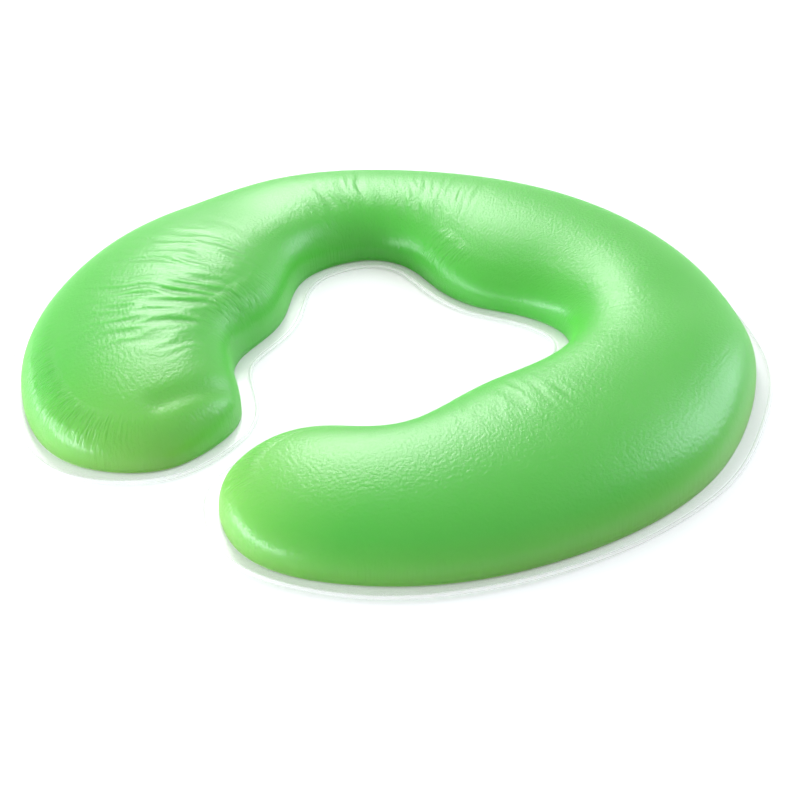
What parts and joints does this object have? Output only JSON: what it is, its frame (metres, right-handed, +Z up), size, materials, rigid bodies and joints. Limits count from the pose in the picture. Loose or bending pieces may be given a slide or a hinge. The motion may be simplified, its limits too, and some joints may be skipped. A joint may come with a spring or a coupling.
{
  "type": "face cradle cushion",
  "caption": "U-shaped gel pad with a face hole, sealed between clear films, that cushions the face on a massage table's face cradle.",
  "frame": {"origin": "middle of the overall box on the surface that the pad lies on", "axes": "+X across the pad to its right side seen from above with the forehead end away, +Y to the forehead end, +Z up out of the face side"},
  "size_m": [0.2998, 0.284, 0.024],
  "materials": {
    "gel": "translucent soft gel seen through a satin film",
    "top_film": "clear flexible film, satin gloss with a fine grain",
    "base_film": "clear flexible film, satin",
    "edge_weld": "clear fused bead, glossy"
  },
  "bodies": {
    "root": {"base_film": "base_film", "gel_core": "gel", "top_film": "top_film", "edge_weld": "edge_weld"}
  },
  "joints": []
}
